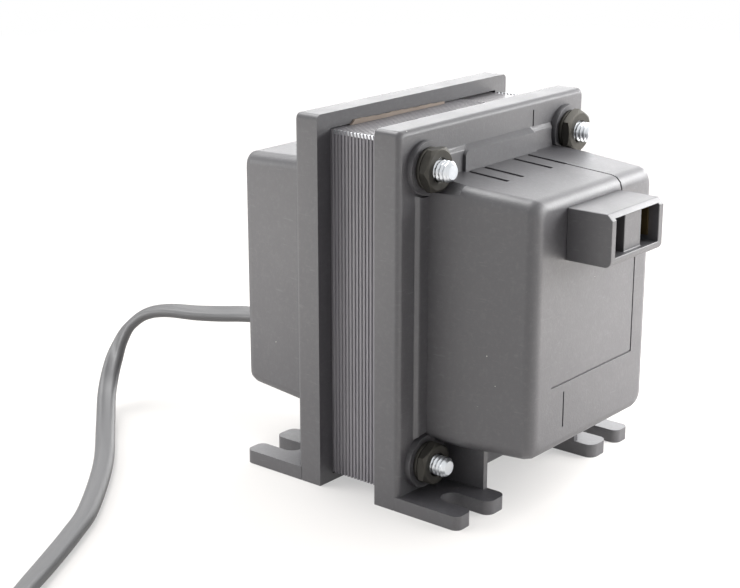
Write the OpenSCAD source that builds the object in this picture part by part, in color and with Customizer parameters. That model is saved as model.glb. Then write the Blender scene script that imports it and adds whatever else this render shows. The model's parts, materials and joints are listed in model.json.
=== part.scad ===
// Step-down travel converter: an iron-cored transformer clamped between two moulded end bells,
// with a two-slot outlet on the front bell and a flat supply cord from the rear bell.
// Millimetres. X is to the right seen from the outlet side, the outlet faces -Y, Z is up.
// The origin is on the standing surface, under the middle of the converter without its cord.

/* [Core] */
// Height of the lamination stack
core_h = 84; // [80:0.5:86]
// Width of the lamination stack
core_w = 64.2; // [62:0.2:66]
// Thickness of the whole stack
stack_t = 25; // [23:1:28]
// Width of an outer leg and of a yoke; the tongue is twice as wide
leg_w = 14; // [13:0.2:15]
// Thickness of one packet of laminations
packet_t = 0.5; // [0.5:0.25:2.5]
// Step between the edges of neighbouring packets
packet_step = 0.25; // [0.1:0.05:0.4]
// Height of the core above the standing surface
core_lift = 2.1; // [1.8:0.1:2.6]
// Distance of a bolt from the core's side
bolt_inset_x = 3.8; // [3.6:0.1:5]
// Distance of a bolt from the core's top and bottom
bolt_inset_z = 7.2; // [6.5:0.1:8]
// How far the middle of the four bolts sits above the middle of the core
bolt_rise = 1; // [0:0.1:1.5]

/* [End bells] */
// Width of a bell's flange
bell_w = 74; // [72:0.5:80]
// Height of the front bell's flange
bell_h = 89; // [88.4:0.1:94]
// How much taller the rear flange is
rear_rise = 1; // [0:0.1:3]
// Thickness of the front flange
front_flange_t = 6.9; // [6.5:0.1:9]
// Thickness of the rear flange
rear_flange_t = 7; // [6.3:0.1:9]
// Bare core between the two flanges
core_gap = 16.7; // [16:0.1:18]
// Rounding of the flange's corners and of its edges on the dome's side
flange_r = 1.3; // [0.6:0.1:1.6]
// Wall thickness of a dome
wall = 2.4; // [1.8:0.1:2.8]
// Diameter of the boss that carries a washer in front
boss_d = 12.4; // [11.6:0.1:12.8]
// Height of that boss above the flange
boss_h = 1.5; // [0.8:0.1:2]

/* [Domes] */
// Width of a dome
dome_w = 49.4; // [47:0.2:52]
// Height of a dome at its outer face
dome_h = 60.2; // [57:0.2:62]
// Height of a dome's lower edge above the standing surface
dome_z = 15; // [14.6:0.1:16.2]
// Depth of the front dome from its flange
front_dome_d = 28; // [26:0.5:34]
// Depth of the rear dome from its flange
rear_dome_d = 28.6; // [26:0.1:34]
// Rounding of the hollow's long edges
hollow_r = 3; // [2.6:0.1:4]
// Rounding of a dome's edges
dome_r = 3; // [2:0.1:4]
// Draft of a dome's top from the flange to the outer face
dome_draft = 1.7; // [0.5:0.1:2.5]
// Draft of a dome's underside
draft_low = 1; // [0.5:0.1:1.5]
// Draft of each of a dome's sides
draft_side = 2.7; // [1:0.1:3]
// Height of the plinth's middle panel above the flange
plinth_t = 1.5; // [1.2:0.1:2]
// Height of the plinth beside its middle panel
plinth_low = 0.8; // [0.5:0.1:1.1]
// Width of the plinth's middle panel
panel_w = 29; // [24:0.5:36]
// Margin of the plinth above and below a dome
plinth_margin = 4.6; // [3:0.1:5]
// Margin of the plinth beside a dome
plinth_side = 5.7; // [4:0.1:6.5]
// How far the plinth's edges slope out
plinth_slope = 1.1; // [0.4:0.1:1.5]
// Width of a vent slot
vent_w = 1.2; // [0.8:0.1:2]
// Length of a vent slot
vent_len = 11; // [6:0.5:14]
// Distance between the two slots of a vent pair
vent_pitch = 5.9; // [4:0.1:7]
// Distance between the inner slots of the two vent pairs
vent_gap = 11.8; // [10:0.1:14]
// Depth of the mould-insert witness lines
witness_d = 0.3; // [0.2:0.05:0.4]

/* [Feet] */
// Reach of a foot from its flange
foot_len = 17.2; // [15:0.1:22]
// Thickness of a foot
foot_t = 3.4; // [2.5:0.1:5]
// Width of a foot's outer prong
prong_outer = 5.7; // [4.5:0.1:7]
// Width of a foot's inner prong
prong_inner = 6.9; // [5:0.1:8]
// Rounding of the outer prong's tip
tip_outer_r = 1.8; // [0.8:0.1:2.2]
// Rounding of the inner prong's tip
tip_inner_r = 2.2; // [1:0.1:3.3]
// How much further the inner prong reaches
inner_reach = 0.6; // [0:0.1:2]
// Width of the open mounting slot
slot_w = 5.6; // [4.5:0.1:6.5]
// Depth of the open mounting slot
slot_len = 10.5; // [8:0.5:12]
// Thickness of the gusset over a foot's inner edge
gusset_t = 1.5; // [1.2:0.1:1.8]
// Reach of the gusset from its flange
gusset_len = 12.3; // [8:0.1:13]

/* [Clamp bolts] */
// Diameter of a clamp bolt
bolt_d = 4.8; // [4:0.1:5]
// Radial clearance of the bolt holes
bolt_clear = 0.3; // [0.2:0.05:0.5]
// Width across the flats of a nut
nut_af = 9.5; // [8:0.1:10]
// Thickness of a nut
nut_t = 2.4; // [2:0.1:4]
// Thickness of a washer
washer_t = 0.9; // [0.6:0.1:1.5]
// Diameter of a washer
washer_d = 9.8; // [9.6:0.1:10.8]
// Length of bolt that shows past the nut
bolt_proud = 3.4; // [1:0.1:4]
// Diameter of the bolt head
head_d = 8.6; // [8:0.1:10]
// Thickness of the bolt head
head_t = 2.2; // [2:0.1:4]

/* [Outlet] */
// Width of the outlet block
outlet_w = 22; // [20.5:0.1:24]
// Height of the outlet block
outlet_h = 12; // [11.6:0.1:14]
// Reach of the outlet block from the dome
outlet_d = 11.5; // [8:0.1:16]
// Sideways place of the outlet block's middle
outlet_x = -1.9; // [-4:0.1:4]
// Height of the outlet block's middle
outlet_z = 66.2; // [60:0.1:66.4]
// Distance between the two blade openings
blade_pitch = 12.7; // [12.5:0.1:12.9]
// Width of a blade opening
blade_w = 5.6; // [5:0.1:6]
// Height of a blade opening
blade_h = 8.8; // [8:0.1:9]
// Recess of the web between the openings
web_recess = 1.3; // [0.5:0.1:2]
// Bevel of the block's upper front edge
outlet_bevel = 1.4; // [0.5:0.1:1.5]
// Thickness of a contact strip
contact_t = 0.5; // [0.3:0.05:0.7]

/* [Coil] */
// Wall of the bobbin
bobbin_wall = 1.2; // [0.9:0.1:1.5]
// Build of the inner winding
common_build = 4.6; // [3:0.1:5]
// Build of the outer winding
series_build = 3.9; // [3:0.1:4.2]
// Thickness of the tape wrap over the windings
wrap_t = 0.6; // [0.4:0.1:0.8]
// Clearance between pieces that slide together
fit = 0.3; // [0.2:0.05:0.4]

/* [Cord] */
// Width of the flat twin cord
cord_w = 5; // [4.4:0.1:5.4]
// Thickness of the flat twin cord
cord_t = 2.6; // [2.2:0.1:2.8]
// Sideways place of the cord's exit
cord_x = -11.5; // [-13:0.1:-10]
// Height of the cord's exit
cord_z = 28; // [27:0.1:29]
// Diameter of the bush's collars
bush_d = 13; // [12:0.1:14]
// Reach of the bush's tapered nose past its collar
bush_nose = 5; // [3:0.1:6]

/* [Hidden] */
$fn = 32;

// Places shared by the pieces
core_z = core_lift + core_h / 2;
window_l = core_w - 2 * leg_w;
packets = round(stack_t / packet_t);
front_face = -core_gap / 2 - front_flange_t;
rear_face = core_gap / 2 + rear_flange_t;
front_wall = front_face - front_dome_d;
rear_wall = rear_face + rear_dome_d;
sink = (stack_t - core_gap) / 2;
bolt_x = core_w / 2 - bolt_inset_x;
bolt_zs = [for (side = [-1, 1]) core_z + bolt_rise + side * (core_h / 2 - bolt_inset_z)];
hole_d = bolt_d + 2 * bolt_clear;
dome_top = dome_z + dome_h;
foot_w = prong_outer + slot_w + prong_inner;
nut_corners = nut_af / cos(30);
relief_d = max(washer_d, nut_corners, head_d) + 2 * fit;
relief_l = washer_t + max(nut_t + bolt_proud, head_t) + fit;
plinth_z0 = dome_z - plinth_margin;
plinth_z1 = dome_top + dome_draft + plinth_margin;
vent_end = plinth_t + 0.2 + vent_len;
last_vent_x = outlet_x + vent_gap / 2 + vent_pitch;

// The coil between the bobbin's end flanges
coil_l = window_l - 2 * fit;
tube_y = stack_t + 2 * fit + 2 * bobbin_wall;
tube_z = 2 * leg_w + 2 * fit + 2 * bobbin_wall;
build = common_build + series_build + wrap_t;
bobbin_y = tube_y + 2 * build + 1.2;
bobbin_z = tube_z + 2 * build + 1.2;

// Outlet openings and the neck that passes through the dome's wall
recess_w = blade_pitch + blade_w;
neck_w = recess_w + 2;
neck_h = blade_h + 2;
neck_d = wall + 3.4;
outlet_face = front_wall - outlet_d;
opening_z = outlet_z + 0.5;

// Cord bush
bush_neck_d = bush_d - 3;
collar_t = 1.6;
bush_end = rear_wall + collar_t + bush_nose;

// The core stands off the origin by half the difference of the two ends' reach
core_y = -(outlet_face + bush_end) / 2;

module seated() {
    translate([0, core_y, 0])
        children();
}

// Drawing aids

// Rounded rectangle around the origin
module rounded(w, h, r) {
    square([w - 2 * r, h], center = true);
    square([w, h - 2 * r], center = true);
    for (x = [-1, 1], y = [-1, 1])
        translate([x * (w / 2 - r), y * (h / 2 - r)])
            circle(r);
}

// A flat outline in X and Z, made solid from y0 to y1
module slab(y0, y1) {
    translate([0, y1, 0])
        rotate([90, 0, 0])
            linear_extrude(y1 - y0)
                children();
}

// The four places of the clamp bolts
module at_bolts() {
    for (x = [-bolt_x, bolt_x], z = bolt_zs)
        translate([x, 0, z])
            children();
}

// A round bar along Y
module bar(d, y0, y1, sides = 32) {
    translate([0, y1, 0])
        rotate([90, 0, 0])
            cylinder(d = d, h = y1 - y0, $fn = sides);
}

// Points and frames along a swept line

function unit(v) = v / norm(v);
function tangent(p, i) = unit(p[min(i + 1, len(p) - 1)] - p[max(i - 1, 0)]);
function smooth(t) = t * t * (3 - 2 * t);

// One point of a curve through four neighbours
function between(a, b, c, d, t) =
    0.5 * (2 * b + (c - a) * t + (2 * a - 5 * b + 4 * c - d) * t * t + (3 * b - a - 3 * c + d) * t * t * t);

// A route with extra points put in between its own
function finer(p, steps) = [
    for (i = [0 : len(p) - 2], s = [0 : steps - 1])
        between(p[max(i - 1, 0)], p[i], p[i + 1], p[min(i + 2, len(p) - 1)], s / steps),
    p[len(p) - 1]
];

// The section's outline set square to the route at point i; roll turns it about the route
function section_at(p, i, outline, roll) =
    let (t = tangent(p, i))
    let (side = unit(cross(t, [0, 0, 1])))
    let (up = cross(side, t))
    let (a = side * cos(roll) + up * sin(roll))
    let (b = up * cos(roll) - side * sin(roll))
    [for (q = outline) p[i] + a * q[0] + b * q[1]];

// One closed tube along a route
module swept(p, outline, rolls) {
    n = len(outline);
    rings = len(p);
    points = [for (i = [0 : rings - 1]) each section_at(p, i, outline, rolls[i])];
    sides = [
        for (i = [0 : rings - 2], j = [0 : n - 1])
            let (k = (j + 1) % n)
            each [[i * n + j, (i + 1) * n + k, i * n + k], [i * n + j, (i + 1) * n + j, (i + 1) * n + k]]
    ];
    first = [for (j = [1 : n - 2]) [0, j, j + 1]];
    last = [for (j = [1 : n - 2]) [(rings - 1) * n, (rings - 1) * n + j + 1, (rings - 1) * n + j]];
    polyhedron(points, concat(sides, first, last), convexity = 10);
}

// Outline of a round lead and of the flat twin cord
function round_outline(d, n) = [for (k = [0 : n - 1]) d / 2 * [cos(360 * k / n), sin(360 * k / n)]];
flat_outline = [
    [cord_w / 2, -0.2 * cord_t], [cord_w / 2, 0.2 * cord_t],
    [0.33 * cord_w, cord_t / 2], [-0.33 * cord_w, cord_t / 2],
    [-cord_w / 2, 0.2 * cord_t], [-cord_w / 2, -0.2 * cord_t],
    [-0.33 * cord_w, -cord_t / 2], [0.33 * cord_w, -cord_t / 2]
];
edge_outline = [
    [cord_w / 2, 0], [0.34 * cord_w, cord_t / 2], [-0.34 * cord_w, cord_t / 2],
    [-cord_w / 2, 0], [-0.34 * cord_w, -cord_t / 2], [0.34 * cord_w, -cord_t / 2]
];

// The coil: laid down inwards, climbing where it turns back, laid outwards on top
coil_centre = [-162, -45];
coil_start = 119;
coil_r = 34;
coil_pitch = 3.3;
coil_loops_down = 3;
coil_loops_up = 1.38;
coil_z = 3.7;
coil_layer = 6;
loop_rings = 24;
coil_turns = coil_loops_down + 1 + coil_loops_up;
coil_inner = coil_r - coil_pitch * coil_loops_down;

function coil_radius(n) =
    n < coil_loops_down + 0.5 ? coil_r - coil_pitch * n :
    n < coil_loops_down + 1 ? coil_inner - coil_pitch / 2 + 3 * coil_pitch * (n - coil_loops_down - 0.5) :
    coil_inner + coil_pitch * (n - coil_loops_down);
function coil_height(n) =
    coil_z + coil_layer * smooth(min(1, max(0, 2 * (n - coil_loops_down))));
function coil_point(n) =
    let (a = coil_start + 360 * n)
    [coil_centre[0] + coil_radius(n) * cos(a), coil_centre[1] + coil_radius(n) * sin(a), coil_height(n)];

// Route of the cord from the rear wall to the coil
cord_route = [
    [cord_x, rear_wall - wall - collar_t - 1, cord_z], [cord_x, rear_wall, cord_z], [cord_x, 50, cord_z],
    [-12.2, 56, 27.7], [-14, 63, 26.8], [-16.2, 70, 26.2], [-18.4, 78, 25.8], [-20.5, 83.3, 24.8],
    [-22.6, 87, 22.6], [-25.2, 89.6, 18.6], [-28.9, 89.9, 12], [-35.2, 85.5, 5.6], [-47, 73, 2.4],
    [-64, 55.2, 1.6], [-83, 39, 1.4], [-93.7, 32.2, 1.4], [-105.5, 25.5, 1.4], [-116.3, 19.6, 1.4],
    [-129, 12.3, 1.7], [-145, 3.3, 2.8], [-160, -5, 3.6], [-170, -10.5, 3.7], coil_point(0)
];
// Where the flat side starts and ends its turn on to edge
twist_from = 17;
twist_to = 21;
cord_steps = 2;

// Points along the coil, and along its tail to the plug
coil_count = round(coil_turns * loop_rings);
coil_loop = [for (i = [0 : coil_count]) coil_point(coil_turns * i / coil_count)];
coil_end = coil_start + 360 * coil_turns;
tail_dir = [-sin(coil_end), cos(coil_end), 0];
tail_start = coil_loop[coil_count];
plug_z = 7;
tail_len = 42;
coil_tail = [
    for (s = [8, 16, 24, 31, 37, tail_len])
        let (drop = (plug_z - tail_start[2]) * smooth(min(1, max(0, (s - 14) / 22))))
        tail_start + s * tail_dir + [0, 0, drop]
];
coil_route = concat(coil_loop, coil_tail);
plug_at = coil_tail[len(coil_tail) - 1];

// Least gap between the coil's own turns, measured on its points at the same angle
coil_gap = min([
    for (i = [0 : coil_count - loop_rings], k = [1 : 5])
        let (n = coil_turns * i / coil_count)
        if (n + k <= coil_turns)
            norm([max(0, abs(coil_radius(n) - coil_radius(n + k)) - cord_t),
                  max(0, abs(coil_height(n) - coil_height(n + k)) - cord_w)])
]);
echo(least_coil_gap = coil_gap);

// End bells

// Foot with its open slot, seen from above; the flange's face is at y = 0 and the tips at -foot_len
module foot_outline() {
    slot_end = -foot_len + slot_len - slot_w / 2;
    difference() {
        union() {
            translate([0, slot_end])
                square([foot_w, 1 - slot_end]);
            prong(0, prong_outer, tip_outer_r, slot_end, foot_len);
            prong(prong_outer + slot_w, prong_inner, tip_inner_r, slot_end, foot_len + inner_reach);
        }
        translate([prong_outer + slot_w / 2, slot_end])
            circle(d = slot_w);
    }
}

module prong(x, w, r, root, reach) {
    translate([x, -reach + r])
        square([w, root + reach - r]);
    translate([x + r, -reach])
        square([w - 2 * r, r]);
    for (side = [x + r, x + w - r])
        translate([side, -reach + r])
            circle(r);
}

module foot() {
    linear_extrude(foot_t)
        foot_outline();
    translate([foot_w - gusset_t, -gusset_len, 0])
        cube([gusset_t, gusset_len + 1, dome_z + wall / 2]);
}

// Steps of a quarter-round edge: how far in from the face, and how far in from the side
round_steps = [for (a = [0, 30, 60, 90]) [1 - cos(a), 1 - sin(a)]];

// Drafted dome, rounded on its outer edges; inset draws its skin in
module dome(depth, inset = 0) {
    w = dome_w - 2 * inset;
    h = dome_h - 2 * inset;
    z = dome_z + inset;
    hull() {
        slab(0.48, 0.5)
            translate([0, z + (h + dome_draft - draft_low) / 2])
                rounded(w + 2 * draft_side, h + dome_draft + draft_low, dome_r);
        for (step = dome_r * round_steps)
            slab(-depth + inset + step[0], -depth + inset + step[0] + 0.02)
                translate([0, z + h / 2])
                    rounded(w - 2 * step[1], h - 2 * step[1], dome_r);
    }
}

// Hollow inside the dome, open through the flange
module hollow(depth, flange_t) {
    inner_w = dome_w - 2 * wall;
    inner_h = dome_h - 2 * wall;
    hull() {
        slab(flange_t, flange_t + 0.02)
            translate([0, dome_z + wall + (inner_h + dome_draft - draft_low) / 2])
                rounded(inner_w + 2 * draft_side, inner_h + dome_draft + draft_low, hollow_r);
        slab(-depth + wall, -depth + wall + 0.02)
            translate([0, dome_z + wall + inner_h / 2])
                rounded(inner_w, inner_h, hollow_r);
    }
}

// Plinth with a raised middle panel, cleared round the bosses
module plinth() {
    difference() {
        union() {
            plinth_step(dome_w + 2 * plinth_side, plinth_low, plinth_slope);
            plinth_step(panel_w, plinth_t, 0);
        }
        at_bolts()
            bar(boss_d + 1, -plinth_t - 1, 0);
    }
}

// One step of the plinth: its upper and lower edges slope, its sides only where asked
module plinth_step(w, t, side_slope) {
    h = plinth_z1 - plinth_z0;
    r = 1.5;
    translate([0, 0, plinth_z0])
        hull() {
            slab(0, 1)
                translate([0, h / 2])
                    rounded(w + 2 * side_slope, h + 2 * plinth_slope, r);
            slab(-t, -t + 0.02)
                translate([0, h / 2])
                    rounded(w, h, r);
        }
}

// Thin lines left on the front bell by the mould's inserts
module witness_lines(depth) {
    line_w = 0.5;
    line_x = 17;
    panel_z = 31;
    short_x = -12;
    short_len = 8.6;
    short_drop = 2;
    flange_line = 4;
    face_y = -depth - 1;
    cut = witness_d + 1;
    // Over the dome from the last vent to the outlet
    difference() {
        translate([last_vent_x - line_w / 2, face_y, outlet_z])
            cube([line_w, depth + 1 - vent_end, dome_h]);
        dome(depth, witness_d);
    }
    // Round the panel below the outlet
    translate([last_vent_x, face_y, outlet_z])
        cube([line_x - last_vent_x, cut, line_w]);
    translate([line_x, face_y, panel_z])
        cube([line_w, cut, outlet_z + line_w - panel_z]);
    translate([-line_x, face_y, panel_z])
        cube([2 * line_x, cut, line_w]);
    translate([short_x, face_y, panel_z - short_drop - short_len])
        cube([line_w, cut, short_len]);
    // On the flange above the plinth
    translate([panel_w / 2, -1, plinth_z1 + plinth_slope])
        cube([line_w, cut, flange_line]);
}

// One bell with its flange's face at y = 0, dome towards -Y, core towards +Y
module end_bell(flange_t, height, depth, boss) {
    difference() {
        union() {
            hull() {
                for (step = flange_r * round_steps)
                    slab(step[0], flange_t)
                        translate([0, height / 2])
                            rounded(bell_w - 2 * step[1], height - 2 * step[1], flange_r);
                // Square lower corners, where the feet run on
                slab(flange_r, flange_t)
                    translate([-bell_w / 2, 0])
                        square([bell_w, flange_r]);
            }
            plinth();
            dome(depth);
            if (boss > 0)
                at_bolts()
                    bar(boss_d, -boss, 1);
            for (side = [0, 1])
                mirror([side, 0, 0])
                    translate([-bell_w / 2, 0, 0])
                        foot();
        }
        hollow(depth, flange_t);
        translate([-core_w / 2 - fit, flange_t - sink, core_lift - fit])
            cube([core_w + 2 * fit, sink + 1, core_h + 2 * fit]);
        at_bolts() {
            bar(hole_d, -boss - 1, flange_t);
            bar(relief_d, -boss - relief_l, -boss);
        }
        for (side = [-1, 1], k = [0, 1])
            translate([outlet_x + side * (vent_gap / 2 + k * vent_pitch) - vent_w / 2, -vent_end,
                       dome_top - wall - 2])
                cube([vent_w, vent_len, wall + dome_draft + 4]);
    }
}

module front_end_bell() {
    color([0.2, 0.2, 0.21])
        translate([0, front_face, 0])
            difference() {
                end_bell(front_flange_t, bell_h, front_dome_d, boss_h);
                translate([outlet_x - neck_w / 2 - fit, -front_dome_d - 1, outlet_z - neck_h / 2 - fit])
                    cube([neck_w + 2 * fit, wall + 2, neck_h + 2 * fit]);
                witness_lines(front_dome_d);
            }
}

module rear_end_bell() {
    color([0.2, 0.2, 0.21])
        difference() {
            translate([0, rear_face, 0])
                rotate([0, 0, 180])
                    end_bell(rear_flange_t, bell_h + rear_rise, rear_dome_d, 0);
            translate([cord_x, 0, cord_z])
                bar(bush_neck_d + 2 * fit, rear_wall - wall - 1, rear_wall + 1);
        }
}

// Core

// E-shaped punching with its yoke on the left
module e_outline(height) {
    difference() {
        translate([-core_w / 2, -height / 2])
            square([core_w - leg_w, height]);
        for (z = [-1, 1])
            translate([-window_l / 2, z * 1.5 * leg_w - leg_w / 2])
                square([core_w, leg_w]);
    }
}

module e_laminations() {
    color([0.24, 0.24, 0.26])
        difference() {
            translate([0, 0, core_z])
                for (k = [0 : packets - 1])
                    mirror([k % 2, 0, 0])
                        slab(-stack_t / 2 + k * stack_t / packets,
                             -stack_t / 2 + (k + 1) * stack_t / packets)
                            e_outline(core_h - 2 * packet_step * (k % 2));
            at_bolts()
                bar(hole_d, -stack_t, stack_t, 12);
        }
}

// I-shaped punchings that close each E, turn and turn about
module i_laminations() {
    film = 0.05;
    color([0.3, 0.29, 0.28])
        difference() {
            for (k = [0 : packets - 1])
                mirror([k % 2, 0, 0])
                    translate([core_w / 2 - leg_w + film, -stack_t / 2 + k * stack_t / packets + film,
                               core_lift + packet_step])
                        cube([leg_w - film - packet_step, stack_t / packets - 2 * film,
                              core_h - 2 * packet_step]);
            at_bolts()
                bar(hole_d, -stack_t, stack_t, 12);
        }
}

// Coil

// A tube along X around the tongue, given by its outer size and its wall
module coil_tube(y, z, t, l) {
    r = 1.5;
    translate([-l / 2, 0, core_z])
        rotate([90, 0, 90])
            linear_extrude(l)
                difference() {
                    rounded(y, z, r + t);
                    rounded(y - 2 * t, z - 2 * t, r);
                }
}

module coil_bobbin() {
    color([0.85, 0.83, 0.74]) {
        difference() {
            union() {
                coil_tube(tube_y, tube_z, bobbin_wall, coil_l);
                for (side = [-1, 1])
                    translate([side * (coil_l - bobbin_wall) / 2, 0, 0])
                        coil_tube(bobbin_y, bobbin_z, (bobbin_y - tube_y) / 2 + bobbin_wall, bobbin_wall);
            }
            translate([-coil_l, -stack_t / 2 - fit, core_z - leg_w - fit])
                cube([2 * coil_l, stack_t + 2 * fit, 2 * leg_w + 2 * fit]);
        }
    }
}

winding_l = coil_l - 2 * bobbin_wall - 2 * fit / 3;

module common_winding() {
    grow = 2 * common_build;
    color([0.72, 0.38, 0.18])
        coil_tube(tube_y + grow, tube_z + grow, common_build - fit / 3, winding_l);
}

module series_winding() {
    grow = 2 * (common_build + series_build);
    color([0.78, 0.44, 0.22])
        coil_tube(tube_y + grow, tube_z + grow, series_build - fit / 3, winding_l);
}

module winding_wrap() {
    grow = 2 * build;
    color([0.86, 0.74, 0.3])
        coil_tube(tube_y + grow, tube_z + grow, wrap_t - fit / 6, winding_l);
}

// Insulating sheet over one face of the coil
liner_t = 0.5;
liner_y = bobbin_y / 2 + fit;

module liner() {
    slab(-liner_y - liner_t, -liner_y)
        translate([0, core_z])
            rounded(coil_l, bobbin_z - 4, 1.5);
}

module front_liner() {
    color([0.55, 0.5, 0.42])
        liner();
}

module rear_liner() {
    color([0.55, 0.5, 0.42])
        mirror([0, 1, 0])
            liner();
}

// Sealed fuse on the front liner, with its two wire ends
fuse_d = 3.6;
fuse_l = 11;
fuse_y = -liner_y - liner_t - fuse_d / 2 - fit / 3;
fuse_wire_l = 5;
fuse_wire_d = 0.9;
fuse_drop = 14;
fuse_z = core_z - fuse_drop;

module thermal_fuse() {
    color([0.8, 0.72, 0.5])
        translate([0, fuse_y, fuse_z])
            rotate([0, 90, 0]) {
                cylinder(d = fuse_d, h = fuse_l, center = true);
                cylinder(d = fuse_wire_d, h = fuse_l + 2 * fuse_wire_l, center = true, $fn = 16);
            }
}

// Fasteners

nut_y = front_face - boss_h - washer_t;
bolt_end = nut_y - nut_t - bolt_proud;

module clamp_bolts() {
    head_y = rear_face + washer_t;
    color([0.75, 0.76, 0.78])
        at_bolts() {
            difference() {
                union() {
                    bar(bolt_d, bolt_end + 0.6, head_y + 1);
                    translate([0, bolt_end + 0.6, 0])
                        rotate([90, 0, 0])
                            cylinder(d1 = bolt_d, d2 = bolt_d - 1.2, h = 0.6);
                    bar(head_d, head_y, head_y + head_t);
                }
                translate([-head_d, head_y + head_t - 1.2, -0.6])
                    cube([2 * head_d, 2, 1.2]);
            }
        }
}

module washer(y0) {
    difference() {
        bar(washer_d, y0, y0 + washer_t);
        bar(hole_d, y0 - 1, y0 + washer_t + 1);
    }
}

module head_washers() {
    color([0.66, 0.66, 0.67])
        at_bolts()
            washer(rear_face);
}

module nut_washers() {
    color([0.2, 0.19, 0.17])
        at_bolts()
            washer(nut_y);
}

// The upper left nut stopped with a corner to the side, the others with a flat
module hex_nuts() {
    color([0.23, 0.22, 0.18])
        for (x = [-1, 1], k = [0, 1])
            translate([x * bolt_x, 0, bolt_zs[k]])
                difference() {
                    rotate([0, x < 0 && k == 1 ? 0 : 30, 0])
                        bar(nut_corners, nut_y - nut_t, nut_y, 6);
                    bar(bolt_d + fit / 3, nut_y - nut_t - 1, nut_y + 1);
                }
}

// Outlet

module outlet_housing() {
    collar = 1.2;
    inner_face = front_wall + wall + fit;
    color([0.17, 0.17, 0.18])
        difference() {
            union() {
                translate([outlet_x - outlet_w / 2, 0, outlet_z])
                    rotate([90, 0, 90])
                        linear_extrude(outlet_w)
                            outlet_side();
                translate([outlet_x - neck_w / 2, front_wall - 1, outlet_z - neck_h / 2])
                    cube([neck_w, neck_d + 1, neck_h]);
                translate([outlet_x - outlet_w / 2, inner_face, outlet_z - neck_h / 2])
                    cube([outlet_w, collar, neck_h]);
            }
            for (side = [-1, 1])
                translate([outlet_x + side * blade_pitch / 2 - blade_w / 2, outlet_face - 1,
                           opening_z - blade_h / 2])
                    cube([blade_w, outlet_d + neck_d + 2, blade_h]);
            translate([outlet_x - recess_w / 2, outlet_face - 1, opening_z - blade_h / 2])
                cube([recess_w, web_recess + 1, blade_h]);
        }
}

// The block from the side: bevelled above, rounded below
module outlet_side() {
    y0 = outlet_face;
    y1 = front_wall;
    r = 1.6;
    h = outlet_h / 2;
    polygon([[y1, -h], [y0 + r, -h], [y0 + r, -h + r], [y0, -h + r], [y0, h - outlet_bevel],
             [y0 + outlet_bevel, h], [y1, h]]);
    translate([y0 + r, -h + r])
        circle(r);
}

// Sprung strip folded back inside an opening, with a tail behind it
module contact(side) {
    x1 = blade_w / 2 - fit / 3;
    y0 = outlet_face + 2.6;
    spring_y = outlet_face + 8;
    y1 = front_wall + neck_d - 1;
    tail = 3.4;
    strip_h = blade_h - 2.4;
    translate([outlet_x + side * blade_pitch / 2, 0, opening_z - strip_h / 2])
        mirror([side > 0 ? 0 : 1, 0, 0])
            linear_extrude(strip_h)
                polygon([[x1, y0], [x1, y1 + tail], [x1 - contact_t, y1 + tail], [x1 - contact_t, y1],
                         [x1 - 2.8, y1], [x1 - 2.8 - contact_t, y1 - contact_t],
                         [x1 - 1.6 - contact_t, spring_y + 3],
                         [x1 - 2.6 - contact_t, spring_y], [x1 - 2.6, spring_y], [x1 - 1.6, spring_y + 3],
                         [x1 - 2.8 + contact_t / 2, y1 - contact_t], [x1 - contact_t, y1 - contact_t],
                         [x1 - contact_t, y0]]);
}

module outlet_contact_left() {
    color([0.8, 0.66, 0.36])
        contact(-1);
}

module outlet_contact_right() {
    color([0.8, 0.66, 0.36])
        contact(1);
}

// Leads

lead_d = 1.8;

// From an outlet contact's tail to the edge of the bobbin's front
module output_leads() {
    tail_y = front_wall + neck_d + 1.2;
    color([0.75, 0.1, 0.1])
        for (side = [-1, 1]) {
            off = blade_pitch / 2 + blade_w / 2 - fit / 3 - contact_t - lead_d / 2 - fit / 3;
            x = outlet_x + side * off;
            end_x = side * (coil_l / 2 - 3);
            route = finer([[x, tail_y - 1, opening_z - 1], [x, tail_y + 2, opening_z - 2],
                           [x + side, -liner_y - 5.5, opening_z - 8],
                           [end_x - side, -liner_y - 3, core_z + 6],
                           [end_x, -liner_y - liner_t - lead_d / 2 - fit / 3, core_z - 1]], 3);
            swept(route, round_outline(lead_d, 8), [for (q = route) 0]);
        }
}

// From the cord's two cores to the splices, and on to the rear of the coil
splice_d = 4.2;
splice_l = 11;
splice_in = 8.2;
splice_rise = 6;
splice_pitch = 10;
lead_drop = 10;
splice_y = rear_wall - wall - splice_in;
splice_z = core_z + splice_rise;

module input_leads() {
    inner_y = rear_wall - wall - collar_t - 1;
    color([0.12, 0.25, 0.6])
        for (side = [-1, 1]) {
            x = cord_x + side * cord_w / 4;
            sx = cord_x + (1 + side) * splice_pitch / 2;
            route = finer([[x, inner_y - fit / 3, cord_z], [x + side * 0.3, inner_y - 3.5, cord_z + 1],
                           [sx - side * 0.8, splice_y + 1.6, splice_z - lead_drop],
                           [sx, splice_y, splice_z - fit / 3]], 3);
            swept(route, round_outline(lead_d, 8), [for (q = route) 0]);
        }
}

module splice_caps() {
    color([0.92, 0.9, 0.82])
        for (side = [-1, 1])
            translate([cord_x + (1 + side) * splice_pitch / 2, splice_y, splice_z]) {
                cylinder(d = splice_d, h = splice_l);
                translate([0, 0, splice_l])
                    sphere(d = splice_d);
            }
}

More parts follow.
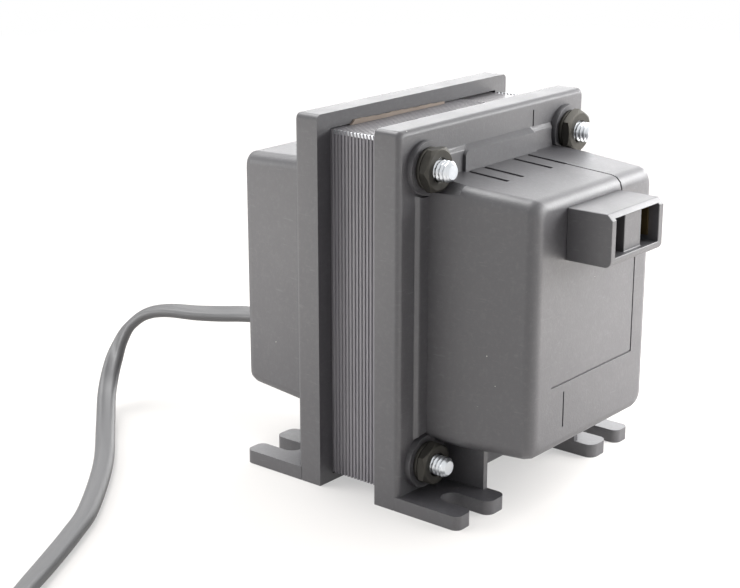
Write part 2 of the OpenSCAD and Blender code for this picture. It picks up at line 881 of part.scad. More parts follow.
// Bush that holds the cord in the rear wall
module cord_bush() {
    color([0.14, 0.14, 0.15])
        difference() {
            translate([cord_x, 0, cord_z]) {
                bar(bush_neck_d, rear_wall - wall - collar_t, rear_wall + collar_t);
                bar(bush_d, rear_wall, rear_wall + collar_t);
                translate([0, rear_wall + collar_t, 0])
                    rotate([-90, 0, 0])
                        cylinder(d1 = bush_neck_d, d2 = cord_w + 2.4, h = bush_nose);
                bar(bush_d - 1, rear_wall - wall - collar_t, rear_wall - wall);
            }
            translate([cord_x, 0, cord_z])
                slab(rear_wall - wall - collar_t - 1, bush_end + 1)
                    rounded(cord_w + fit, cord_t + fit, 1.2);
        }
}

// Cord, coil and plug

module supply_cord() {
    route = finer(cord_route, cord_steps);
    rolls = [for (i = [0 : len(route) - 1])
        90 * smooth(min(1, max(0, (i / cord_steps - twist_from) / (twist_to - twist_from))))];
    color([0.3, 0.3, 0.31])
        swept(route, flat_outline, rolls);
}

module cord_coil() {
    color([0.3, 0.3, 0.31])
        swept(coil_route, edge_outline, [for (q = coil_route) 90]);
}

// Band round the coil's turns at one place
module coil_tie() {
    angle = 20;
    band_t = 0.7;
    band_w = 4;
    gap = 0.4;
    r0 = coil_inner - coil_pitch - gap - cord_t / 2;
    r1 = coil_r + gap + cord_t / 2;
    z1 = coil_z + coil_layer + cord_w / 2 + gap;
    color([0.1, 0.1, 0.1])
        translate([coil_centre[0], coil_centre[1], 0])
            rotate([0, 0, angle])
                difference() {
                    translate([r0 - band_t, -band_w / 2, 0])
                        cube([r1 - r0 + 2 * band_t, band_w, z1 + band_t]);
                    translate([r0, -band_w, band_t])
                        cube([r1 - r0, 2 * band_w, z1 - band_t]);
                }
}

// Flat moulded two-pin plug at the end of the coil's tail
plug_l = 34;
plug_w = 26;
plug_t = 13.6;
pin_pitch = 18.6;
pin_d = 4;
pin_l = 19;

module at_plug() {
    translate(plug_at)
        rotate([0, 0, atan2(tail_dir[1], tail_dir[0])])
            children();
}

module plug_body() {
    neck_w = cord_w + 5;
    color([0.13, 0.13, 0.14])
        at_plug() {
            hull() {
                for (y = [-1, 1])
                    translate([plug_l - 9, y * (plug_w / 2 - plug_t / 2), 0])
                        rotate([0, 90, 0])
                            cylinder(d = plug_t, h = 9);
                translate([fit / 3, 0, 0])
                    rotate([0, 90, 0])
                        cylinder(d = neck_w, h = 6);
            }
        }
}

module plug_pins() {
    color([0.82, 0.8, 0.72])
        at_plug()
            for (y = [-1, 1])
                translate([plug_l, y * pin_pitch / 2, 0]) {
                    rotate([0, 90, 0])
                        cylinder(d = pin_d, h = pin_l - pin_d / 2);
                    translate([pin_l - pin_d / 2, 0, 0])
                        sphere(d = pin_d);
                }
}

seated() front_end_bell();
seated() rear_end_bell();
seated() e_laminations();
seated() i_laminations();
seated() coil_bobbin();
seated() common_winding();
seated() series_winding();
seated() winding_wrap();
seated() front_liner();
seated() rear_liner();
seated() thermal_fuse();
seated() clamp_bolts();
seated() head_washers();
seated() nut_washers();
seated() hex_nuts();
seated() outlet_housing();
seated() outlet_contact_left();
seated() outlet_contact_right();
seated() output_leads();
seated() input_leads();
seated() splice_caps();
seated() cord_bush();
seated() supply_cord();
seated() cord_coil();
seated() coil_tie();
seated() plug_body();
seated() plug_pins();
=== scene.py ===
"""Looks of a step-down travel converter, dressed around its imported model.

Metres, +Z up, the outlet towards -Y, the origin on the standing surface.
"""

import json
import math

import bmesh
import bpy
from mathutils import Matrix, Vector


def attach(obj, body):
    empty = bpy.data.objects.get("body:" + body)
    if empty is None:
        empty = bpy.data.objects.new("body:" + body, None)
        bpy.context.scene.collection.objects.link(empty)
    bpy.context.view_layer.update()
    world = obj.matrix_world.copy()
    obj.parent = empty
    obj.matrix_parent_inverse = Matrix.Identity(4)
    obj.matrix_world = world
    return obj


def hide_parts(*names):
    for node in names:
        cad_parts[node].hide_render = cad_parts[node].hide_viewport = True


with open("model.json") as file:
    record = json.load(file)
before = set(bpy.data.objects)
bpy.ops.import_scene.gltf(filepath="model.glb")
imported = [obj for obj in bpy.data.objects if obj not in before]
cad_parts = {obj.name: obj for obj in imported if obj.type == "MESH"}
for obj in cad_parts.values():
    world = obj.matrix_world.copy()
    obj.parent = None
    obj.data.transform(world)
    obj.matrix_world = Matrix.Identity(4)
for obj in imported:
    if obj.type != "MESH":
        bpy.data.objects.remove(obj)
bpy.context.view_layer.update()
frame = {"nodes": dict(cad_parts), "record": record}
scene = bpy.context.scene

MM = 0.001
BODY = "root"
# The core stands this far behind the origin, in millimetres
CORE_Y = 2.1


# Camera, fitted to the photograph: millimetres and degrees

CAMERA_PLACE = Vector((-312.84, -232.99 + CORE_Y, 159.11)) * MM
CAMERA_DOWN = 16.85
CAMERA_TURN = -50.68
CAMERA_LENS = 80.47

camera = bpy.data.objects.new("camera", bpy.data.cameras.new("camera"))
camera.location = CAMERA_PLACE
camera.rotation_euler = (math.radians(90 - CAMERA_DOWN), 0, math.radians(CAMERA_TURN))
camera.data.lens = CAMERA_LENS
camera.data.sensor_width = 36
camera.data.clip_start = 0.01
scene.collection.objects.link(camera)
scene.camera = camera
scene.view_settings.view_transform = "Standard"


# Helpers for materials

def linear(hex_colour):
    """An sRGB hex colour as the linear colour that shaders take."""
    channels = [int(hex_colour[i:i + 2], 16) / 255 for i in (1, 3, 5)]
    return tuple(c / 12.92 if c <= 0.04045 else ((c + 0.055) / 1.055) ** 2.4 for c in channels) + (1.0,)


def add(tree, kind, settings=None, links=None):
    """Adds a node; settings are its properties or its inputs' values, links its inputs' sources."""
    node = tree.nodes.new(kind)
    for key, value in (settings or {}).items():
        if isinstance(key, str) and hasattr(node, key):
            setattr(node, key, value)
        else:
            node.inputs[key].default_value = value
    for key, source in (links or {}).items():
        tree.links.new(source, node.inputs[key])
    return node


def per(size_mm):
    """Texture scale for a pattern whose features are this many millimetres apart."""
    return 1 / (size_mm * MM)


def surface(name, **settings):
    """A new material with its shader's constant values set on the shader itself."""
    material = bpy.data.materials.new(name)
    material.use_nodes = True
    tree = material.node_tree
    shader = tree.nodes["Principled BSDF"]
    for key, value in settings.items():
        shader.inputs[key.replace("_", " ")].default_value = value
    place = add(tree, "ShaderNodeTexCoord").outputs["Object"]
    return material, tree, shader, place


def noise(tree, place, scale, detail, **more):
    """Soft, cloudy values about a half."""
    settings = {"Scale": scale, "Detail": detail, **more}
    return add(tree, "ShaderNodeTexNoise", settings, {"Vector": place}).outputs["Fac"]


def stretched(tree, place, *sizes_mm):
    """Coordinates in which a pattern of scale 1 has these sizes along X, Y and Z."""
    scale = tuple(per(size) for size in sizes_mm)
    return add(tree, "ShaderNodeMapping", {"Scale": scale}, {"Vector": place}).outputs[0]


def spread(tree, value, low, high, start=0.0, end=1.0):
    """Runs from low to high while the value runs from start to end."""
    return add(tree, "ShaderNodeMapRange", {1: start, 2: end, 3: low, 4: high}, {0: value}).outputs[0]


def calculate(tree, operation, first, second):
    """One step of arithmetic; the second value is a number or another node's output."""
    if isinstance(second, float):
        return add(tree, "ShaderNodeMath", {"operation": operation, 1: second}, {0: first}).outputs[0]
    return add(tree, "ShaderNodeMath", {"operation": operation}, {0: first, 1: second}).outputs[0]


def blend(tree, share, first, second):
    """A share of the second colour in the first; each is a hex colour or another node's output."""
    settings, links = {"data_type": "RGBA"}, {0: share}
    for key, colour in ((6, first), (7, second)):
        if isinstance(colour, str):
            settings[key] = linear(colour)
        else:
            links[key] = colour
    return add(tree, "ShaderNodeMix", settings, links).outputs[2]


def feed(tree, shader, colour, roughness=None):
    """Joins a pattern's colour, and its roughness where it has one, to the shader."""
    tree.links.new(colour, shader.inputs["Base Color"])
    if roughness is not None:
        tree.links.new(roughness, shader.inputs["Roughness"])


def relief(tree, shader, height, strength, depth_mm):
    """Fine unevenness of this depth."""
    settings = {"Strength": strength, "Distance": depth_mm * MM}
    bump = add(tree, "ShaderNodeBump", settings, {"Height": height})
    tree.links.new(bump.outputs["Normal"], shader.inputs["Normal"])


# Materials

def moulded_abs(name, dark, light, grain_mm, dusty):
    """Black plastic from a spark-eroded mould: a fine satin grain that greys in white light, dusty and handled."""
    material, tree, shader, place = surface(name, IOR=1.6, Specular_IOR_Level=1.0)
    tone = blend(tree, noise(tree, place, per(26), 4.0, Roughness=0.6), dark, light)
    # A blotchy film of dust and rubbed skin, about a millimetre across
    blots = noise(tree, place, per(1.2), 6.0, Roughness=0.75)
    hazed = blend(tree, spread(tree, blots, 0.0, dusty, 0.5, 0.8), tone, "#929195")
    # Short scuffs, half a millimetre high and several long
    streaks = noise(tree, stretched(tree, place, 5, 5, 0.5), 1.0, 2.0)
    scuffed = blend(tree, spread(tree, streaks, 0.0, dusty, 0.66, 0.76), hazed, "#8d8c90")
    # Dust specks a quarter of a millimetre wide, some millimetres apart, a few of them rust
    cells = add(tree, "ShaderNodeTexVoronoi", {"Scale": per(4.2), "Randomness": 1.0}, {"Vector": place}).outputs
    chosen = add(tree, "ShaderNodeSeparateColor", None, {"Color": cells["Color"]}).outputs
    near = calculate(tree, "LESS_THAN", cells["Distance"], 0.032)
    kept = calculate(tree, "GREATER_THAN", chosen["Red"], 1 - dusty)
    rusty = calculate(tree, "GREATER_THAN", chosen["Green"], 0.86)
    dust = blend(tree, rusty, "#d9d6cf", "#a9886a")
    colour = blend(tree, calculate(tree, "MULTIPLY", near, kept), scuffed, dust)
    smear = noise(tree, place, per(9), 3.0, Distortion=0.6)
    feed(tree, shader, colour, spread(tree, smear, 0.44, 0.56))
    relief(tree, shader, noise(tree, place, per(grain_mm), 2.0), 0.45, 0.08)
    return material


def varnished_laminations():
    """Punched silicon steel dipped in varnish: satin grey, its sheets fine lines above and almost filled below."""
    material, tree, shader, place = surface("varnished silicon steel", IOR=1.5)
    # One tone for each sheet of half a millimetre, changing slowly along its edge
    lines = noise(tree, stretched(tree, place, 60, 0.5, 30), 1.0, 2.0)
    bare = blend(tree, lines, "#6c6b71", "#a5a3a9")
    # Varnish ran down over several sheets at a time, and is thickest below
    pools = noise(tree, stretched(tree, place, 60, 5, 45), 1.0, 3.0)
    coat = blend(tree, pools, "#8b8a90", "#9b999f")
    height = add(tree, "ShaderNodeSeparateXYZ", None, {"Vector": place}).outputs["Z"]
    side = blend(tree, spread(tree, height, 0.1, 0.8, 38 * MM, 78 * MM), coat, bare)
    # Faces turned up are painted paler, a painted sheen on the top, with stains where the varnish stood
    painted_top_sheen = blend(tree, noise(tree, place, per(7), 4.0), "#8a888b", "#a8a5a6")
    normal = add(tree, "ShaderNodeNewGeometry").outputs["Normal"]
    upward = add(tree, "ShaderNodeSeparateXYZ", None, {"Vector": normal}).outputs["Z"]
    colour = blend(tree, spread(tree, upward, 0.0, 1.0, 0.3, 0.8), side, painted_top_sheen)
    feed(tree, shader, colour, spread(tree, pools, 0.22, 0.42))
    relief(tree, shader, lines, 0.3, 0.05)
    return material


def plated_steel(name, dark, light, roughness):
    """Plated or bare metal: a bright or dark skin with stains a few millimetres across and fine tool marks."""
    material, tree, shader, place = surface(name, Metallic=1.0)
    stains = noise(tree, place, per(2.5), 4.0)
    feed(tree, shader, blend(tree, stains, dark, light),
         spread(tree, stains, roughness - 0.08, roughness + 0.12))
    relief(tree, shader, noise(tree, place, per(0.25), 2.0), 0.2, 0.02)
    return material


def soft_pvc(name, dark, light, roughness, marks_mm):
    """Extruded, moulded or pressed insulation: a satin skin with slow tone changes and faint marks."""
    material, tree, shader, place = surface(name, IOR=1.62, Specular_IOR_Level=0.85)
    cloud = noise(tree, place, per(12), 3.0)
    feed(tree, shader, blend(tree, cloud, dark, light),
         spread(tree, cloud, roughness - 0.06, roughness + 0.1))
    relief(tree, shader, noise(tree, place, per(marks_mm), 2.0), 0.2, 0.04)
    return material


def enamelled_copper():
    """Enamelled copper wire: amber lacquer over metal, wound in close turns of half a millimetre."""
    material, tree, shader, place = surface("enamelled copper", Metallic=0.8, Roughness=0.3, Coat_Weight=0.6)
    # At scale 1 a wave of this texture is a twentieth of tau long
    wave = {"bands_direction": "X", "Scale": per(0.5) * math.tau / 20, "Distortion": 0.4}
    turns = add(tree, "ShaderNodeTexWave", wave, {"Vector": place}).outputs["Fac"]
    # Each turn is painted lighter on its crest and darker in the groove beside the next, painted highlight and
    # painted shade on the same bands as the bump
    feed(tree, shader, blend(tree, turns, "#6d3517", "#b5652f"))
    relief(tree, shader, turns, 0.6, 0.2)
    return material


MATERIALS = {
    "moulded_black": moulded_abs("moulded black ABS", "#38373b", "#444347", 0.45, 0.13),
    # The outlet's plastic is painted a little darker than the bells, painted shade for the socket's openings
    "outlet_black": moulded_abs("satin black ABS", "#353438", "#403f43", 0.4, 0.1),
    "bush_nylon": moulded_abs("moulded black nylon", "#3c3c3d", "#49494a", 0.4, 0.1),
    "tie_nylon": moulded_abs("black nylon strip", "#2c2c2d", "#383839", 0.5, 0.05),
    "bobbin_nylon": moulded_abs("natural nylon", "#cfc9b2", "#dcd7c4", 0.5, 0.0),
    "core_varnish": varnished_laminations(),
    "zinc_steel": plated_steel("bright zinc plate", "#c9cdd2", "#eef1f4", 0.28),
    "dark_steel": plated_steel("dark olive plate", "#3b3a37", "#54524e", 0.5),
    # The contacts' brass is dull and tarnished, and painted darker still as painted shade deep in the socket
    "contact_brass": plated_steel("tarnished brass darkened as painted shade", "#54472f", "#7b6a49", 0.48),
    "nickel_brass": plated_steel("nickel plate", "#bdb9ad", "#dedbd2", 0.2),
    "fuse_case": plated_steel("drawn aluminium", "#b9b5a8", "#d8d4c6", 0.35),
    "enamelled_copper": enamelled_copper(),
    "polyester_tape": soft_pvc("polyester tape", "#c9a93f", "#dcc266", 0.35, 3.0),
    "insulating_board": soft_pvc("pressed insulating board", "#a08f82", "#bdad9f", 0.75, 0.6),
    "red_insulation": soft_pvc("red PVC insulation", "#8a1512", "#a32620", 0.4, 0.8),
    "blue_insulation": soft_pvc("blue PVC insulation", "#1d3470", "#2c4a8e", 0.4, 0.8),
    "cord_pvc": soft_pvc("flat twin PVC cord", "#353537", "#434345", 0.52, 0.7),
    "plug_pvc": soft_pvc("moulded black PVC", "#434344", "#515152", 0.42, 0.6),
}
SLOTS = {part["node"]: part["material_slot"] for part in frame["record"]["subparts"]}


def dress(obj, slot):
    """Gives an object its slot's material alone."""
    obj.data.materials.clear()
    obj.data.materials.append(MATERIALS[slot])


# Stage and light, in metres

# Share of plain white in the floor as it is seen, near the object; it fades to all white between two distances
FLOOR_GLOW = 0.46
FADE_FROM, FADE_TO = 0.3, 0.8
# Strength of the surroundings as a light
FILL = 0.33


def shown_rays(tree):
    """1 for rays that show the background: straight from the camera, mirrored or through glass."""
    rays = add(tree, "ShaderNodeLightPath").outputs
    seen = calculate(tree, "MAXIMUM", rays["Is Camera Ray"], rays["Is Glossy Ray"])
    return calculate(tree, "MAXIMUM", seen, rays["Is Transmission Ray"])


def floor():
    """A pale warm sheet that goes white where the light reaches it and keeps the object's shadow."""
    size = 4.0
    corners = [(-size, -size, 0), (size, -size, 0), (size, size, 0), (-size, size, 0)]
    mesh = bpy.data.meshes.new("floor")
    mesh.from_pydata(corners, [], [(0, 1, 2, 3)])
    sheet = bpy.data.objects.new("floor", mesh)
    scene.collection.objects.link(sheet)
    material, tree, card, place = surface("matt white card", Base_Color=linear("#ece8e4"), Roughness=0.9,
                                          Specular_IOR_Level=0.1)
    glow = add(tree, "ShaderNodeEmission", {"Color": (1, 1, 1, 1), "Strength": 1.0})
    # Past the reach of the lights the sheet runs out into the white behind it
    away = add(tree, "ShaderNodeVectorMath", {"operation": "LENGTH"}, {0: place}).outputs["Value"]
    white = spread(tree, away, FLOOR_GLOW, 1.0, FADE_FROM, FADE_TO)
    share = calculate(tree, "MULTIPLY", shown_rays(tree), white)
    mixed = add(tree, "ShaderNodeMixShader", None, {0: share, 1: card.outputs[0], 2: glow.outputs[0]})
    tree.links.new(mixed.outputs[0], tree.nodes["Material Output"].inputs["Surface"])
    mesh.materials.append(material)


def surroundings():
    """White to the eye and in reflections, a plain soft fill otherwise."""
    world = bpy.data.worlds.new("white room")
    world.use_nodes = True
    scene.world = world
    tree = world.node_tree
    backdrop = tree.nodes["Background"]
    backdrop.inputs["Color"].default_value = (1, 1, 1, 1)
    tree.links.new(spread(tree, shown_rays(tree), FILL, 1.0), backdrop.inputs["Strength"])


def softbox(name, place, width, height, watts, aim=(0, 0, 0.04)):
    """An area light turned to the object, or to where it is told."""
    light = bpy.data.lights.new(name, "AREA")
    light.shape = "RECTANGLE"
    light.size = width
    light.size_y = height
    light.energy = watts
    lamp = bpy.data.objects.new(name, light)
    lamp.location = place
    lamp.rotation_euler = (Vector(aim) - Vector(place)).to_track_quat("-Z", "Y").to_euler()
    scene.collection.objects.link(lamp)


floor()
surroundings()
# Two low ones face the floor, which lights the sides from below
softbox("floor before the outlet", (0.19, -0.21, 0.12), 0.3, 0.3, 2.4, aim=(0.19, -0.21, 0))
softbox("floor beside the cord", (-0.2, 0.22, 0.1), 0.2, 0.2, 0.9, aim=(-0.2, 0.22, 0))
softbox("overhead", (0.05, 0.6, 1.1), 0.8, 0.8, 13)
softbox("beyond the right side", (1.2, 0.36, 0.42), 1.5, 0.7, 15)


# Cord, in millimetres from the middle of the core

CORD_X, CORD_Z = -11.5, 28
REAR_WALL, INNER_END, BUSH_END = 43.95, 38.95, 50.55
CORD_W, CORD_T = 5.0, 2.6
COIL_CENTRE = (-162, -45)
COIL_START, COIL_R, COIL_PITCH = 119, 34, 3.3
LOOPS_DOWN, LOOPS_UP = 3, 1.38
COIL_Z, COIL_LAYER = 3.7, 6
COIL_INNER = COIL_R - COIL_PITCH * LOOPS_DOWN
COIL_TURNS = LOOPS_DOWN + 1 + LOOPS_UP
TIE_ANGLE = 20
# Turns of the coil stand on their edges
COIL_ROLL = -90
# The tail to the plug, and the stretch of it that changes height
TAIL, TAIL_STEP, PLUG_Z = 42, 3, 7
RAMP_START, RAMP_LENGTH = 14, 22


def smooth(t):
    """0 to 1 with a soft start and end."""
    t = min(1, max(0, t))
    return t * t * (3 - 2 * t)


def coil_point(n):
    """The coil after n turns: inwards below, climbing where it turns back, outwards on top."""
    if n < LOOPS_DOWN + 0.5:
        radius = COIL_R - COIL_PITCH * n
    elif n < LOOPS_DOWN + 1:
        radius = COIL_INNER - COIL_PITCH / 2 + 3 * COIL_PITCH * (n - LOOPS_DOWN - 0.5)
    else:
        radius = COIL_INNER + COIL_PITCH * (n - LOOPS_DOWN)
    angle = math.radians(COIL_START + 360 * n)
    height = COIL_Z + COIL_LAYER * smooth(2 * (n - LOOPS_DOWN))
    return Vector((COIL_CENTRE[0] + radius * math.cos(angle), COIL_CENTRE[1] + radius * math.sin(angle), height))


# Points from the rear wall to the coil, each with the turn of the cord's flat side there, in degrees
CORD_ROUTE = [
    (CORD_X, INNER_END, CORD_Z, 0), (CORD_X, REAR_WALL, CORD_Z, 0), (CORD_X, 50, CORD_Z, 8),
    (-12.2, 56, 27.7, 26), (-14, 63, 26.8, 26), (-16.2, 70, 26.2, 20), (-18.4, 78, 25.8, 10),
    (-20.3, 83.4, 24.6, 6), (-22.2, 87, 22.2, 3), (-24.6, 89.5, 18.2, 0), (-28.4, 89.9, 11.8, 0),
    (-35, 85.7, 5.5, 0), (-47, 73.2, 2.3, 0), (-63.5, 55.8, 1.6, 0), (-83, 39, 1.4, 0),
    (-94.3, 31.7, 1.4, 0), (-106.2, 25, 1.4, 0), (-116.6, 19.4, 1.5, -8), (-129, 12.3, 2.1, -30),
    (-145, 3.3, 3, -65), (-160, -5, 3.6, -84), (-170, -10.5, 3.7, -90), (*coil_point(0), COIL_ROLL)]


def between(a, b, c, d, t):
    """One point of a smooth curve through four neighbours."""
    return 0.5 * (2 * b + (c - a) * t + (2 * a - 5 * b + 4 * c - d) * t ** 2 + (3 * b - a - 3 * c + d) * t ** 3)


def cord_path(steps=6, loop_points=72):
    """Points along the whole cord and the turn of its flat side at each, in millimetres and degrees."""
    points, rolls = [], []
    last = len(CORD_ROUTE) - 1
    for i in range(last):
        near = [Vector(CORD_ROUTE[min(last, max(0, i + k))]) for k in (-1, 0, 1, 2)]
        for s in range(steps):
            x, y, z, roll = between(*near, s / steps)
            points.append(Vector((x, y, z)))
            rolls.append(roll)
    count = round(COIL_TURNS * loop_points)
    points += [coil_point(COIL_TURNS * k / count) for k in range(count + 1)]
    end = math.radians(COIL_START + 360 * COIL_TURNS)
    ahead = Vector((-math.sin(end), math.cos(end), 0))
    start = points[-1].copy()
    for s in range(TAIL_STEP, TAIL + 1, TAIL_STEP):
        rise = (PLUG_Z - start.z) * smooth((s - RAMP_START) / RAMP_LENGTH)
        points.append(start + s * ahead + Vector((0, 0, rise)))
    return points, rolls + [COIL_ROLL] * (len(points) - len(rolls))


def twin_profile(around=14):
    """Outline of a flat twin cord: two round cores with a groove between them on both faces."""
    r = CORD_T / 2
    core = CORD_W / 2 - r
    # Height of the groove's floor, and the angle at which a core's round runs into it
    groove, lean = 0.86 * r, 72
    angles = [math.radians(-180 + lean + (360 - 2 * lean) * k / around) for k in range(around + 1)]
    side = [(core + r * math.cos(a), r * math.sin(a)) for a in angles]
    return side + [(0, groove)] + [(-x, -y) for x, y in side] + [(0, -groove)]


def sweep(name, path, rolls, profile):
    """A closed tube of one profile along a path, all in millimetres."""
    verts, faces = [], []
    n = len(profile)
    for i, p in enumerate(path):
        along = (path[min(i + 1, len(path) - 1)] - path[max(i - 1, 0)]).normalized()
        side = along.cross(Vector((0, 0, 1))).normalized()
        up = side.cross(along)
        turn = math.radians(rolls[i])
        a = side * math.cos(turn) + up * math.sin(turn)
        b = up * math.cos(turn) - side * math.sin(turn)
        verts += [(p + a * x + b * y + Vector((0, CORE_Y, 0))) * MM for x, y in profile]
    for i in range(len(path) - 1):
        for j in range(n):
            k = (j + 1) % n
            faces.append((i * n + j, i * n + k, (i + 1) * n + k, (i + 1) * n + j))
    faces.append(tuple(range(n - 1, -1, -1)))
    faces.append(tuple(range(len(verts) - n, len(verts))))
    mesh = bpy.data.meshes.new(name)
    mesh.from_pydata(verts, [], faces)
    mesh.shade_smooth()
    piece = bpy.data.objects.new(name, mesh)
    scene.collection.objects.link(piece)
    return piece


# Helpers for pieces

def put(name, mesh, slot, *nodes):
    """A piece on the body, finished as its slot says, in place of the nodes that it stands for."""
    piece = bpy.data.objects.new(name, mesh)
    scene.collection.objects.link(piece)
    dress(piece, slot)
    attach(piece, BODY)
    if nodes:
        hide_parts(*nodes)
    return piece


def join(work, rings, closed=False):
    """Joins rings of points by four-sided faces, round to the first or with both ends capped."""
    n = len(rings[0])
    for low, high in zip(rings, rings[1:] + rings[:1] if closed else rings[1:]):
        for j in range(n):
            k = (j + 1) % n
            work.faces.new((low[j], low[k], high[k], high[j]))
    if not closed:
        work.faces.new(rings[0])
        work.faces.new(rings[-1])


def finished(work, name, sharp):
    """The mesh of what was built, shaded smooth but for edges sharper than this many degrees."""
    bmesh.ops.recalc_face_normals(work, faces=work.faces)
    mesh = bpy.data.meshes.new(name)
    work.to_mesh(mesh)
    work.free()
    mesh.shade_smooth()
    mesh.set_sharp_from_angle(angle=math.radians(sharp))
    return mesh


# Pieces with rounded edges

def rounded_copy(node, radius_mm, segments=3, sharp=38):
    """Stands for a CAD node, with its sharp edges rounded as moulding or stamping leaves them."""
    same_place, same_plane = 0.002 * MM, math.radians(0.5)
    mesh = frame["nodes"][node].data.copy()
    mesh.name = node + "_rounded"
    work = bmesh.new()
    work.from_mesh(mesh)
    bmesh.ops.remove_doubles(work, verts=work.verts, dist=same_place)
    bmesh.ops.dissolve_limit(work, angle_limit=same_plane, verts=work.verts, edges=work.edges)
    work.to_mesh(mesh)
    work.free()
    mesh.shade_smooth()
    piece = put(node + "_rounded", mesh, SLOTS[node], node)
    bevel = piece.modifiers.new("rounded edges", "BEVEL")
    bevel.width = radius_mm * MM
    bevel.segments = segments
    bevel.limit_method = "ANGLE"
    bevel.angle_limit = math.radians(sharp)
    piece.modifiers.new("flat faces stay flat", "WEIGHTED_NORMAL").keep_sharp = True
    return piece


EDGES = {"front_end_bell": 0.5, "rear_end_bell": 0.5, "outlet_housing": 0.3, "cord_bush": 0.4,
         "head_washers": 0.15, "nut_washers": 0.15, "plug_body": 0.8}
ROUNDED = {node: rounded_copy(node, edge) for node, edge in EDGES.items()}
for node_name, obj in frame["nodes"].items():
    dress(obj, SLOTS[node_name])


# Nuts and bolts, in millimetres from the middle of the core

BOLT_X, BOLT_ZS = 28.3, (10.3, 79.9)
BOLT_R, BOLT_END = 2.4, -23.45
NUT_BACK, NUT_T, NUT_AF = -17.65, 2.4, 9.5
HEAD_FACE, HEAD_T, HEAD_R = 16.25, 2.2, 4.3
AROUND = 48


def skin(work, x, z, rows, ring=False):
    """A closed skin through rows of (radius, y) points about an axis along Y; a ring has no caps."""
    grid = []
    for row in rows:
        points = [row] * AROUND if isinstance(row, tuple) else row
        grid.append([])
        for j, (r, y) in enumerate(points):
            a = 2 * math.pi * j / AROUND
            place = Vector((x + r * math.cos(a), y + CORE_Y, z + r * math.sin(a)))
            grid[-1].append(work.verts.new(place * MM))
    join(work, grid, closed=ring)


def nut_rows(turn):
    """A hex nut with both faces chamfered at 30 degrees and the hole countersunk."""
    play, sink, chamfer = 0.03, 0.45, 0.94
    flat, hole = NUT_AF / 2, BOLT_R + play
    face = chamfer * flat
    front = NUT_BACK - NUT_T
    low, high = [], []
    for j in range(AROUND):
        r = flat / math.cos(math.radians((360 * j / AROUND + turn) % 60 - 30))
        drop = (r - face) * math.tan(math.radians(30))
        low.append((r, front + drop))
        high.append((r, NUT_BACK - drop))
    return [(hole + sink, front), (face, front), low, high, (face, NUT_BACK), (hole + sink, NUT_BACK),
            (hole, NUT_BACK - sink), (hole, front + sink)]


def bolt_rows():
    """A pan-headed screw with a rolled thread of 24 turns an inch and a chamfered end."""
    pitch, depth, flank, fine = 25.4 / 24, 0.42, 1.35, 10
    tip, runout = 0.75, 0.3
    ease_in, ease_up, crown_wide, crown_high = 0.1, 0.15, 1.5, 1.2
    last = NUT_BACK - runout
    rows = []
    for i in range(int((last - BOLT_END) / pitch * fine)):
        y = BOLT_END + i * pitch / fine
        row = []
        for j in range(AROUND):
            phase = (i / fine - j / AROUND) % 1
            crest = min(1, flank * (1 - abs(2 * phase - 1)))
            row.append((min(BOLT_R - depth * (1 - crest), BOLT_R - tip + i * pitch / fine), y))
        rows.append(row)
    rows += [(BOLT_R, last), (BOLT_R, HEAD_FACE), (HEAD_R - ease_in, HEAD_FACE), (HEAD_R, HEAD_FACE + ease_up)]
    for a in range(0, 91, 15):
        side, rise = math.cos(math.radians(a)), math.sin(math.radians(a))
        rows.append((HEAD_R - crown_wide * (1 - side), HEAD_FACE + HEAD_T - crown_high + crown_high * rise))
    return rows


def cut(piece, cutter):
    """Takes the cutter out of the piece for good."""
    tool = piece.modifiers.new("cut", "BOOLEAN")
    tool.object = cutter
    tool.operation = "DIFFERENCE"
    tool.solver = "EXACT"
    whole = piece.evaluated_get(bpy.context.evaluated_depsgraph_get())
    mesh = bpy.data.meshes.new_from_object(whole)
    piece.modifiers.clear()
    piece.data = mesh
    bpy.data.objects.remove(cutter)


def driver_slots():
    """Blocks as wide and deep as the slots in the screws' heads."""
    wide, deep, long = 1.2, 1.1, 2.4 * HEAD_R
    work = bmesh.new()
    for x in (-BOLT_X, BOLT_X):
        for z in BOLT_ZS:
            block = bmesh.ops.create_cube(work, size=1)["verts"]
            for v in block:
                v.co = Vector((x + long * v.co.x, HEAD_FACE + HEAD_T + CORE_Y + 2 * deep * v.co.y,
                               z + wide * v.co.z)) * MM
    cutter = bpy.data.objects.new("driver_slots", finished(work, "driver_slots", 30))
    scene.collection.objects.link(cutter)
    return cutter


def fasteners():
    """The four nuts as one piece and the four screws as another."""
    nuts, bolts = bmesh.new(), bmesh.new()
    for x in (-BOLT_X, BOLT_X):
        for z in BOLT_ZS:
            # The upper left nut stopped with a corner to the side
            turn = 0 if (x, z) == (-BOLT_X, BOLT_ZS[1]) else 30
            skin(nuts, x, z, nut_rows(turn), ring=True)
            skin(bolts, x, z, bolt_rows())
    put("chamfered_nuts", finished(nuts, "chamfered_nuts", 20), SLOTS["hex_nuts"], "hex_nuts")
    screws = put("threaded_screws", finished(bolts, "threaded_screws", 35), SLOTS["clamp_bolts"], "clamp_bolts")
    cut(screws, driver_slots())


fasteners()


# Insulating slip on the core, against the rear flange

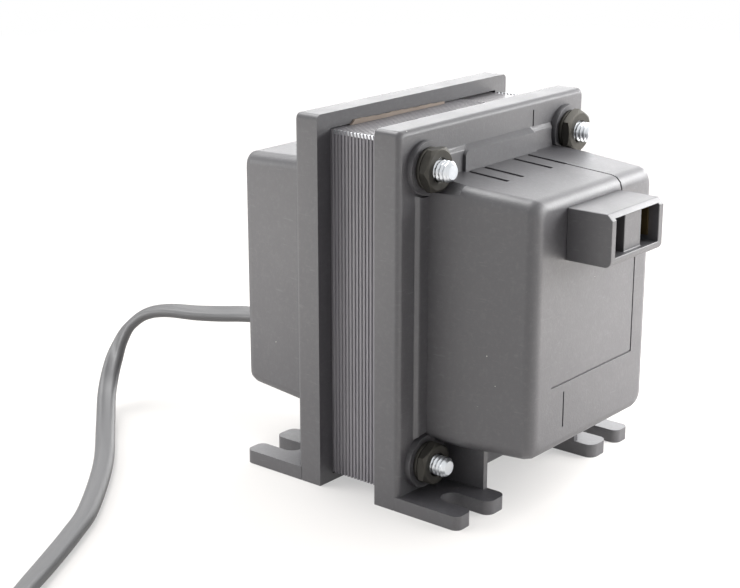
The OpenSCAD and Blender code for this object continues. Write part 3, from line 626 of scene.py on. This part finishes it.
def insulating_slip():
    """A strip of pressed board that stands on the laminations, a little wavy and torn at its left end."""
    left, right, count = -24.8, 10.0, 60
    foot, top, slope = 86.12, 87.2, 0.5
    back, thick = 8.3, 0.5
    work = bmesh.new()
    grid = []
    for i in range(count + 1):
        x = left + (right - left) * i / count
        torn_top, torn_foot = (0.6, 0.9) if i == 0 else (0, 0)
        lean = 0.1 + 0.1 * math.sin(0.35 * x) + 0.05 * math.sin(0.9 * x + 1)
        z = top - slope * i / count + 0.05 * math.sin(0.5 * x) + 0.04 * math.sin(1.7 * x) - torn_top
        far, near = back - lean + CORE_Y, back - lean - thick + CORE_Y
        corners = ((x - torn_foot, far, foot), (x, far, z), (x, near, z), (x - torn_foot, near, foot))
        grid.append([work.verts.new(Vector(corner) * MM) for corner in corners])
    join(work, grid)
    put("insulating_slip", finished(work, "insulating_slip", 40), "insulating_board")


insulating_slip()


# Teeth on the core's upper corners, painted bright as the glint of the sheets' edges

def sheet_teeth_painted_glint():
    """Small teeth on the upper corners of every second sheet, in bright zinc as a painted glint of the sheets'
    edges.
    """
    side_x, top, first, apart, count = 32.1, 86.1, -8.0, 1.0, 16
    wide, tall, proud, sunk, lip = 0.5, 1.0, 0.22, 0.1, 0.04
    work = bmesh.new()
    for way in (-1, 1):
        for n in range(count):
            y = first + n * apart + CORE_Y
            tooth = ((side_x - sunk, top + lip), (side_x + proud, top), (side_x - sunk, top - tall))
            join(work, [[work.verts.new(Vector((way * x, y + along, z)) * MM) for x, z in tooth]
                        for along in (0, wide)])
    # The teeth are dressed in bright zinc as a painted glint of the sheets' edges
    put("sheet_teeth_painted_glint", finished(work, "sheet_teeth_painted_glint", 20), "zinc_steel")


sheet_teeth_painted_glint()


# Nylon strip drawn round the coil

def snug_tie():
    """Stands for the tie, drawn close round the turns that it holds."""
    around, wide, thick, slack = 72, 4, 1.1, 0.08
    first = (TIE_ANGLE - COIL_START) / 360 % 1
    turns = [coil_point(first + n) for n in range(int(COIL_TURNS - first) + 1)]
    half = (CORD_W - CORD_T) / 2
    cores = [(math.hypot(p.x - COIL_CENTRE[0], p.y - COIL_CENTRE[1]), p.z + offset)
             for p in turns for offset in (-half, half)]
    inside = CORD_T / 2 + slack
    outside = inside + thick
    corners = ((inside, -wide / 2), (inside, wide / 2), (outside, wide / 2), (outside, -wide / 2))
    out = Vector((math.cos(math.radians(TIE_ANGLE)), math.sin(math.radians(TIE_ANGLE)), 0))
    across = Vector((-out.y, out.x, 0))
    centre = Vector((*COIL_CENTRE, 0)) + Vector((0, CORE_Y, 0))
    work = bmesh.new()
    rings = []
    for j in range(around):
        a = 2 * math.pi * j / around
        side, rise = math.cos(a), math.sin(a)
        # The core that lies furthest this way carries the strip
        r, z = max(cores, key=lambda core: core[0] * side + core[1] * rise)
        places = [centre + out * (r + d * side) + across * w + Vector((0, 0, z + d * rise)) for d, w in corners]
        rings.append([work.verts.new(place * MM) for place in places])
    join(work, rings, closed=True)
    return put("snug_tie", finished(work, "snug_tie", 40), SLOTS["coil_tie"], "coil_tie")


# The cord, with what is on it

def make_cord(with_pieces):
    """Stands for the cord's two nodes as one length."""
    path, rolls = cord_path()
    cord = sweep("flat_twin_cord", path, rolls, twin_profile())
    dress(cord, "cord_pvc")
    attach(cord, BODY)
    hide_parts("supply_cord", "cord_coil")


make_cord([snug_tie(), ROUNDED["plug_body"], frame["nodes"]["plug_pins"]])
